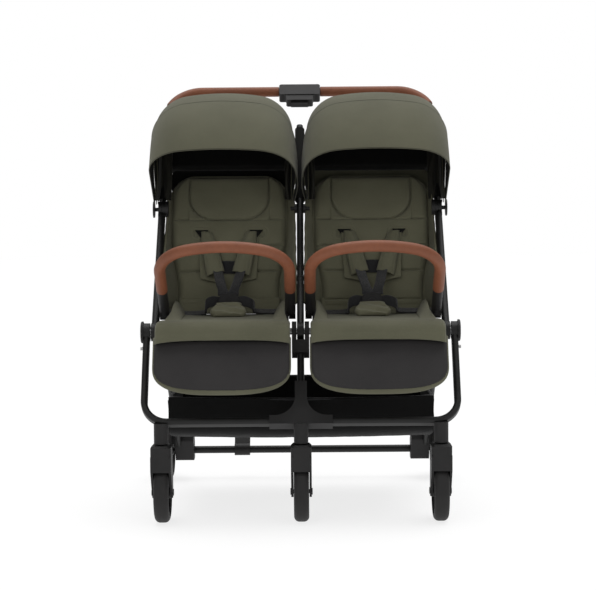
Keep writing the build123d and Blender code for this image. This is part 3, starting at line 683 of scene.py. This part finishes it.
def seatRolls(side):
    # soft rolls along the seat, up over a rounded edge and down its outer side
    c = seatRoll
    path = [Vector((0, y, z)) for y, z in c["path"]]
    for name, edge in edges.items():
        def place(s, t):
            spot = glide(path, t)
            climb = min(s / c["crest"], 1)
            lean = 1 - max(s - c["crest"], 0) / (1 - c["crest"])
            rise = (spot.z - c["base"]) * sin(pi / 2 * climb) * lean
            x = c["from"] + (c["wide"] + c["widen"] * soft((t - 0.5) / 0.5)) * climb
            crinkle = c["crinkle"] * ripple((x * 2, t * 260, 0), 22, edge) * s
            x += crinkle - c["tuck"] * (1 - soft((t - 0.72) / 0.28))
            return Vector((sides[side] * (c["mid"] + edge * x) * mm, spot.y * mm, (c["base"] + rise) * mm))

        roll = sheetPiece(f"{side}-seat-roll-{name}", 24, 50, place, c["cloth"], "seatCloth", None,
                          edge * sides[side] > 0)
        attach(roll, "front_chassis")


for side in sides:
    seatBackPad(side)
    backFlap(side)
    strapSlots(side)
    sideWings(side)
    seatCrease(side)
    seatRolls(side)
print("seat backs quilted")


# seats, with the band that rolls over the front edge
seat = {
    "mid": (177, 183), "half": (135, 159), "widenFrom": -226, "widenTo": -262,
    "path": ((-52, 470), (-150, 469), (-250, 470), (-314, 473), (-339, 466), (-347, 451),
             (-349, 438)),
    "run": 330, "thick": 9, "edge": 15, "crown": 1.5, "crinkle": 1.2, "dip": 8,
}


def seatCover(side):
    c = seat
    path = [Vector((0, y, z)) for y, z in c["path"]]

    def spot(s, t, facing):
        here = glide(path, t)
        ahead = glide(path, min(t + 0.01, 1)) - glide(path, max(t - 0.01, 0))
        normal = Vector((0, ahead.z, -ahead.y)).normalized()
        wide = soft((c["widenFrom"] - here.y) / (c["widenFrom"] - c["widenTo"]))
        half = c["half"][0] + (c["half"][1] - c["half"][0]) * wide
        mid = c["mid"][0] + (c["mid"][1] - c["mid"][0]) * wide
        x = (2 * s - 1) * half
        edge = min(half - abs(x), t * c["run"] + 2, (1 - t) * c["run"] + 2)
        share = roundOff(edge, c["edge"])
        lift = (1 if facing > 0 else -1) * c["thick"] * share
        if facing > 0:
            lift += c["crown"] * (1 - (x / half) ** 2) * sin(pi * min(t / 0.8, 1))
            lift += c["crinkle"] * ripple((x, t * 300, 0), 60, 7 + sides[side]) * share
        here = here + normal * lift
        dip = c["dip"] * abs(x / half) ** 4 * soft((t - 0.6) / 0.4)
        return Vector((sides[side] * (mid + x) * mm, here.y * mm, (here.z - dip) * mm))

    cover = padPiece(side + "-seat-cover", 150, 150, lambda s, t: spot(s, t, 1),
                     lambda s, t: spot(s, t, -1), "bandCloth")
    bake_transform(cover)
    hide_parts(side + "_seat_cushion")


legRest = {
    "angle": 242, "mid": 185, "half": 163, "low": 12, "end": 156, "round": 76, "power": 2.9,
    "front": 11, "behind": 9, "edge": 13, "border": 3.5, "borderEnd": 8, "panelFrom": 22, "dip": 8,
    "crown": 2.5, "seamDepth": 1.6, "seamWidth": 1.8, "crinkle": 0.8,
}


def legAlong(share):
    # rows lie closer together towards the rounded end
    return legRest["low"] + (legRest["end"] - legRest["low"]) * (1 - (1 - share) ** 1.25)


def legOutline(along):
    c = legRest
    deep = min(max(1 - (c["end"] - along) / c["round"], 0), 1)
    return c["half"] * (1 - deep ** c["power"]) ** (1 / c["power"])


def legEdge(x, along):
    # distance in from the rounded outline
    c = legRest
    u = abs(x) / c["half"]
    v = min(max(1 - (c["end"] - along) / c["round"], 0), 1)
    steep = c["power"] * hypot(u ** (c["power"] - 1) / c["half"], v ** (c["power"] - 1) / c["round"])
    return max(1 - u ** c["power"] - v ** c["power"], 0) / max(steep, 0.004)


def legSpot(side, x, along, out):
    return leaning(legPivot, radians(legRest["angle"]), sides[side] * x, along, out)


def legInset(x, along):
    # distance in from the edge of the dark panel
    c = legRest
    low = min(max(1 - (c["end"] - along) / c["round"], 0), 1)
    top = c["panelFrom"] + c["dip"] * abs(x / c["half"]) ** 4
    return min(legEdge(x, along) - c["border"] - c["borderEnd"] * low ** 3, along - top)


def legRestPad(side):
    c = legRest

    def spot(s, t, facing):
        along = legAlong(t)
        half = legOutline(along)
        x = (2 * s - 1) * half
        edge = min(legEdge(x, along), along - c["low"] + 4)
        share = roundOff(edge, c["edge"])
        if facing > 0:
            crown = c["crown"] * (1 - (x / c["half"]) ** 2) * sin(pi * t)
            out = -c["front"] * share - crown
            out -= groove(legInset(x, along), c["seamDepth"], c["seamWidth"])
            out += c["crinkle"] * ripple((x, along, 0), 70, 11)
        else:
            out = c["behind"] * share
        return legSpot(side, c["mid"] + x, along, out)

    def choose(s, t):
        along = legAlong(t)
        return 1 if legInset((2 * s - 1) * legOutline(along), along) > 0 else 0

    pad = padPiece(side + "-leg-rest-pad", 200, 150, lambda s, t: spot(s, t, 1),
                   lambda s, t: spot(s, t, -1), "bandCloth", ("charcoal",), choose)
    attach(pad, side + "_leg_rest")
    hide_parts(side + "_leg_rest")


for side in sides:
    seatCover(side)
    legRestPad(side)
print("seats and leg rests padded")


# harness: pads and tapes from the back slots to the buckle
harness = {
    "x": 177, "padTop": 250, "padLow": 132, "topAside": 56, "lowAside": 32, "padHalf": 22.5,
    "padThick": 6, "padOut": 24, "arch": 7, "hang": 14, "liningLonger": 12, "liningHalf": (16, 24),
    "strapHalf": 13, "strapBack": ((250, 22), (205, 31), (150, 38)), "buckleHalf": 13,
    "strapSeat": ((-74, 552), (-100, 528)), "chest": (172, 138), "chestHalf": 17, "chestOut": 27,
    "buckle": (-104, 511), "lapHeight": 13, "lapTwist": 1.25,
    "lapRoute": ((22, -2, 1), (40, -9, 3), (55, -10, -3), (60, -2, -14), (62, 14, -24),
                 (92, 30, -28), (124, 34, -28)),
}


def shoulderPad(side, name, edge):
    h = harness
    length = h["padTop"] - h["padLow"]

    def spot(s, t, facing):
        along = h["padTop"] - length * t
        centre = seatBack["mid"] + edge * (h["topAside"] + (h["lowAside"] - h["topAside"]) * t)
        half = h["padHalf"] * (0.7 + 0.3 * soft(t * 3))
        x = (2 * s - 1) * half
        rim = min(half - abs(x), t * length + 1.5, (1 - t) * length + 1.5)
        share = roundOff(rim, 7)
        arch = h["arch"] * (1 - (x / half) ** 2) + h["hang"] * soft(t / 0.7)
        out = h["padOut"] + arch + (h["padThick"] if facing > 0 else -2) * share
        if facing > 0:
            out += groove(rim - 6, 1.3, 1.5) + 1.5 * ripple((x, along, edge), 17, 9) * share
        tail = 12 * soft((t - 0.5) * 2) * (x * edge / half)
        return backSpot(side, centre + x, along + 0.2 * x * edge - tail, out)

    pad = padPiece(f"{side}-shoulder-pad-{name}", 36, 80, lambda s, t: spot(s, t, 1),
                   lambda s, t: spot(s, t, -1), "seatCloth")
    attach(pad, side + "_seat_back")
    if edge == 1:
        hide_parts(side + "_shoulder_straps")


def padLining(side, name, edge):
    # slack back half of the pad, longer than the front
    h = harness
    length = h["padTop"] - h["padLow"] + h["liningLonger"]
    narrow, wide = h["liningHalf"]

    def place(s, t):
        x = (2 * s - 1) * (narrow + (wide - narrow) * t)
        centre = seatBack["mid"] + edge * (h["topAside"] + 5 + (h["lowAside"] - h["topAside"] + 10) * t)
        along = h["padTop"] - 4 - length * t + 0.25 * x * edge
        out = 22 + 6 * t + 4 * soft(t * 2) + 2 * sin(4 * s + 5 * t) * t
        return backSpot(side, centre + x, along, out)

    tongue = sheetPiece(f"{side}-shoulder-pad-lining-{name}", 20, 40, place, 2.5, "seatCloth")
    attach(tongue, side + "_seat_back")


def shoulderStrap(side, name, edge):
    h = harness
    path = [backSpot(side, 0, along, out) for along, out in h["strapBack"]]
    path += [Vector((0, y * mm, z * mm)) for y, z in h["strapSeat"]]

    def place(s, t):
        run = glide(path, t)
        centre = edge * (h["topAside"] + (h["buckleHalf"] - h["topAside"]) * min(t / 0.85, 1))
        x = (2 * s - 1) * h["strapHalf"]
        drop = 0.35 * x * edge * mm * (1 - soft((t - 0.7) / 0.3))
        return Vector((sides[side] * (h["x"] + 2 + centre + x) * mm, run.y, run.z + drop))

    strap = sheetPiece(f"{side}-shoulder-strap-{name}", 12, 60, place, 1.8, "tape")
    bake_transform(strap)


def chestTab(side):
    h = harness
    high, low = h["chest"]

    def place(s, t):
        return backSpot(side, seatBack["mid"] + (2 * s - 1) * h["chestHalf"], high + (low - high) * t,
                        h["chestOut"])

    tab = sheetPiece(side + "-chest-webbing", 8, 12, place, 2, "tape")
    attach(tab, side + "_seat_back")


def lapStraps(side):
    # flat tapes that stand on edge at the buckle and lie down beside the seat
    h = harness
    y, z = h["buckle"]
    route = [Vector((x, y + back, z + up)) for x, back, up in h["lapRoute"]]
    for name, edge in edges.items():
        def place(s, t):
            spot = glide(route, t)
            turn = soft((t - 0.35) / 0.35) * h["lapTwist"]
            up = (2 * s - 1) * h["lapHeight"]
            return Vector((sides[side] * (h["x"] + edge * spot.x) * mm,
                           (spot.y + up * sin(turn)) * mm, (spot.z + up * cos(turn)) * mm))

        strap = sheetPiece(f"{side}-lap-strap-{name}", 12, 60, place, 4, "tape")
        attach(strap, "front_chassis")
        if edge == 1:
            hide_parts("lap_harness")


crotch = {
    "path": ((-168, 478), (-158, 488), (-136, 498), (-115, 506)), "run": 70, "half": 45, "thick": 9,
    "under": 3, "round": 9, "wave": 2.2,
}


def crotchPad(side):
    c = crotch
    path = [Vector((0, y, z)) for y, z in c["path"]]

    def spot(s, t, facing):
        here = glide(path, t)
        half = c["half"] * (0.72 + 0.28 * sin(pi * min(t * 1.25, 1)))
        x = (2 * s - 1) * half
        rim = min(half - abs(x), t * c["run"] + 1, (1 - t) * c["run"] + 1)
        lift = roundOff(rim, c["round"]) * (c["thick"] if facing > 0 else -c["under"])
        if facing > 0:
            wave = sin(t * 15 + x / 14) + 0.7 * ripple((x, t * c["run"], 0), 15, 2)
            lift += c["wave"] * wave * soft(rim / 12)
        return Vector(((sides[side] * harness["x"] + x) * mm, (here.y - lift * 0.5) * mm,
                       (here.z + lift * 0.85) * mm))

    pad = padPiece(side + "-crotch-pad", 50, 50, lambda s, t: spot(s, t, 1),
                   lambda s, t: spot(s, t, -1), "seatCloth")
    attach(pad, "front_chassis")


# sleeves of the handle and the centre post
grip = {"straight": (56, 120, 190, 261), "along": 420, "corner": 92, "turn": 66, "radius": 13.4}
post = {"along": (26, 90, 180, 278), "radius": 12.6}


def handleLeather():
    # one stitched sleeve on each half of the handle, out round the corner
    route = [(x, grip["along"]) for x in grip["straight"]]
    for step in range(6, grip["turn"] + 1, 6):
        turn = radians(step)
        route.append((grip["straight"][-1] + grip["corner"] * sin(turn),
                      grip["along"] - grip["corner"] * (1 - cos(turn))))
    for side in sides:
        points = [leaning(canopyPivot, upAngle, sides[side] * x, along, 0) for x, along in route]
        sleeve = cordPiece(side + "-handle-leather", points, grip["radius"], "tan")
        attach(sleeve, "handle")
        if side == "left":
            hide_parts("handle_grips")


def postCover():
    route = [leaning(canopyPivot, upAngle, 0, along, 0) for along in post["along"]]
    cover = cordPiece("post-cover", route, post["radius"], "lining")
    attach(cover, "push_frame")


handleLeather()
postCover()
for side in sides:
    for name, edge in edges.items():
        shoulderPad(side, name, edge)
        padLining(side, name, edge)
        shoulderStrap(side, name, edge)
    chestTab(side)
    lapStraps(side)
    crotchPad(side)
print("harness threaded")


# basket: a sling that sags, with a panel at each side
bag = {
    "half": 318, "wall": 1.6, "sag": 5, "crinkle": 1.2, "top": 290, "slump": 5, "bow": 2.5, "hem": 3.5,
    "path": ((-262, 290), (-262, 250), (-259, 218), (-226, 197), (-150, 182), (-60, 168),
             (30, 159), (130, 153), (205, 160), (240, 192), (250, 288)),
    "hemRoute": ((-262, 288), (-100, 285), (90, 285), (250, 288)),
}


def shoppingBag():
    path = [Vector((0, y, z)) for y, z in bag["path"]]

    def sling(s, t):
        spot = glide(path, t)
        x = (2 * s - 1) * bag["half"]
        crinkle = bag["crinkle"] * ripple((x, t * 500, 0), 45, 5)
        lift = bag["sag"] * (x / bag["half"]) ** 2 + abs(crinkle)
        return Vector((x * mm, spot.y * mm, (spot.z + lift) * mm))

    body = sheetPiece("shopping-bag", 90, 90, sling, bag["wall"], "bag")
    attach(body, "front_chassis")
    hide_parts("basket")
    for name, edge in sides.items():
        def wall(s, t):
            spot = glide(path, s)
            low = spot.z + bag["sag"]
            top = bag["top"] - bag["slump"] * sin(pi * s) ** 0.5
            z = low + (max(top, low) - low) * t
            x = edge * (bag["half"] - bag["bow"] * sin(pi * t) * sin(pi * s))
            return Vector((x * mm, spot.y * mm, z * mm))

        panel = sheetPiece(f"shopping-bag-side-{name}", 80, 24, wall, bag["wall"], "bag")
        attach(panel, "front_chassis")
    route = [Vector((-bag["half"] * mm, y * mm, z * mm)) for y, z in bag["hemRoute"]]
    route += [Vector((bag["half"] * mm, y * mm, z * mm)) for y, z in bag["hemRoute"][::-1]]
    rim = cordPiece("shopping-bag-hem", route, bag["hem"], "tape", loop=True)
    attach(rim, "front_chassis")


shoppingBag()
print("basket hung")


# floor, light and camera
studio = {
    "key": ((-1.6, -3.8, 2.6), 2.6, 26), "fill": ((2.6, -3.4, 1.9), 2.6, 18),
    "top": ((0.0, 0.2, 3.6), 2.4, 22), "sun": 2.0, "sunTilt": (-14, 6), "sky": 0.36,
    "floorTone": 0.22, "glow": 0.79, "reach": 14,
}


def lamp(name, spot, size, power):
    light = bpy.data.lights.new(name, "AREA")
    light.size, light.energy = size, power
    lampObject = bpy.data.objects.new(name, light)
    lampObject.location = spot
    aim = Vector((0, 0, 0.5)) - Vector(spot)
    lampObject.rotation_euler = aim.to_track_quat("-Z", "Y").to_euler()
    bpy.context.scene.collection.objects.link(lampObject)


def studioSet():
    tone = studio["floorTone"]
    paper = Shader("floor paper", Roughness=0.9, Specular_IOR_Level=0.0, Emission_Strength=studio["glow"],
                   Emission_Color=(1, 1, 1, 1))
    mottle = paper.speckle(3, 2)
    paper.feed("Base Color", paper.tone(mottle, (tone - 0.005,) * 3, (tone + 0.005,) * 3))
    looks["paper"] = paper.material
    reach = studio["reach"]
    corners = [(-reach, -reach, 0), (reach, -reach, 0), (reach, reach, 0), (-reach, reach, 0)]
    floor = newPiece("floor", corners, [(0, 1, 2, 3)], "paper")
    for name in ("key", "fill", "top"):
        lamp(name + " light", *studio[name])
    sun = bpy.data.lights.new("ceiling", "SUN")
    sun.energy, sun.angle = studio["sun"], radians(70)
    sunObject = bpy.data.objects.new("ceiling", sun)
    sunObject.rotation_euler = (*[radians(tilt) for tilt in studio["sunTilt"]], 0)
    bpy.context.scene.collection.objects.link(sunObject)
    world = bpy.data.worlds.new("white room")
    world.use_nodes = True
    tree = world.node_tree
    sky = tree.nodes["Background"].inputs
    sky["Color"].default_value, sky["Strength"].default_value = (1, 1, 1, 1), studio["sky"]
    plain = tree.nodes.new("ShaderNodeBackground")
    plain.inputs["Color"].default_value = (1, 1, 1, 1)
    seen = tree.nodes.new("ShaderNodeLightPath")
    mix = tree.nodes.new("ShaderNodeMixShader")
    tree.links.new(seen.outputs["Is Camera Ray"], mix.inputs[0])
    tree.links.new(tree.nodes["Background"].outputs[0], mix.inputs[1])
    tree.links.new(plain.outputs[0], mix.inputs[2])
    tree.links.new(mix.outputs[0], tree.nodes["World Output"].inputs["Surface"])
    bpy.context.scene.world = world
    bpy.context.scene.view_settings.view_transform = "Standard"


view = {"spot": (0.02, -4.62, 0.82), "lens": 110.4, "sensor": 36, "down": 3.7, "roll": -0.45,
        "yaw": 0.33}


def camera():
    data = bpy.data.cameras.new("camera")
    data.lens, data.sensor_width = view["lens"], view["sensor"]
    data.clip_end = 60
    eye = bpy.data.objects.new("camera", data)
    turn = Matrix.Rotation(radians(view["yaw"]), 4, "Z")
    turn = turn @ Matrix.Rotation(radians(90 - view["down"]), 4, "X")
    turn = turn @ Matrix.Rotation(radians(view["roll"]), 4, "Z")
    eye.matrix_world = Matrix.Translation(view["spot"]) @ turn
    bpy.context.scene.collection.objects.link(eye)
    bpy.context.scene.camera = eye


studioSet()
camera()
print("studio ready")
